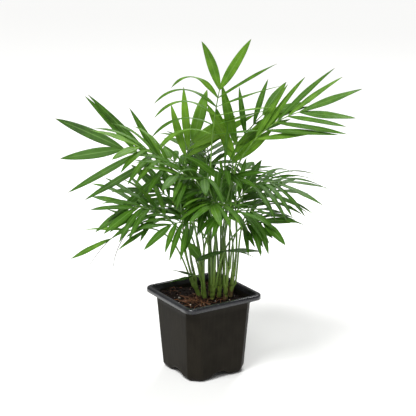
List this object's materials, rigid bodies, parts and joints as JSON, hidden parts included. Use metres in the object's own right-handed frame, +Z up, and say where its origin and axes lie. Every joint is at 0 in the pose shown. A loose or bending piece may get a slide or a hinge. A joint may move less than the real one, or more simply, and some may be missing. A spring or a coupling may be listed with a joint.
{
  "type": "potted palm",
  "caption": "Parlour palm seedlings with arching feathered fronds, growing from soil in a tapered square nursery pot with notched feet.",
  "frame": {"origin": "on the ground under the middle of the pot, which is also the middle of the whole plant's outline seen from above", "axes": "+Z up; the pot's straight sides run along X and Y; the plant's broad side looks towards -X -Y"},
  "size_m": [0.2972, 0.269, 0.4184],
  "materials": {
    "pot": "satin moulded charcoal plastic",
    "soil": "moist dark coir and bark potting mix",
    "stem": "smooth living yellow-green stem",
    "leaf": "living green leaf with a soft sheen",
    "perlite": "rough white volcanic glass crumb",
    "bark": "rough red-brown bark"
  },
  "bodies": {
    "root": {"pot": "pot", "soil": "soil", "stem_1": "stem", "stem_2": "stem", "stem_3": "stem", "stem_4": "stem", "stem_5": "stem", "stem_6": "stem", "stem_7": "stem", "frond_01": "leaf", "frond_02": "leaf", "frond_03": "leaf", "frond_04": "leaf", "frond_05": "leaf", "frond_06": "leaf", "frond_07": "leaf", "frond_08": "leaf", "frond_09": "leaf", "frond_10": "leaf", "frond_11": "leaf", "frond_12": "leaf", "frond_13": "leaf", "frond_14": "leaf", "frond_15": "leaf", "frond_16": "leaf", "frond_17": "leaf", "frond_18": "leaf", "frond_19": "leaf", "frond_20": "leaf", "frond_21": "leaf", "frond_22": "leaf", "frond_23": "leaf", "frond_24": "leaf", "frond_25": "leaf", "frond_26": "leaf", "frond_27": "leaf", "frond_28": "leaf", "frond_29": "leaf", "frond_30": "leaf", "frond_31": "leaf", "frond_32": "leaf", "frond_33": "leaf", "frond_34": "leaf", "frond_35": "leaf", "frond_36": "leaf", "frond_37": "leaf", "frond_38": "leaf", "perlite_1": "perlite", "perlite_2": "perlite", "perlite_3": "perlite", "perlite_4": "perlite", "bark_chip_1": "bark", "bark_chip_2": "bark", "bark_chip_3": "bark", "bark_chip_4": "bark"}
  },
  "joints": []
}
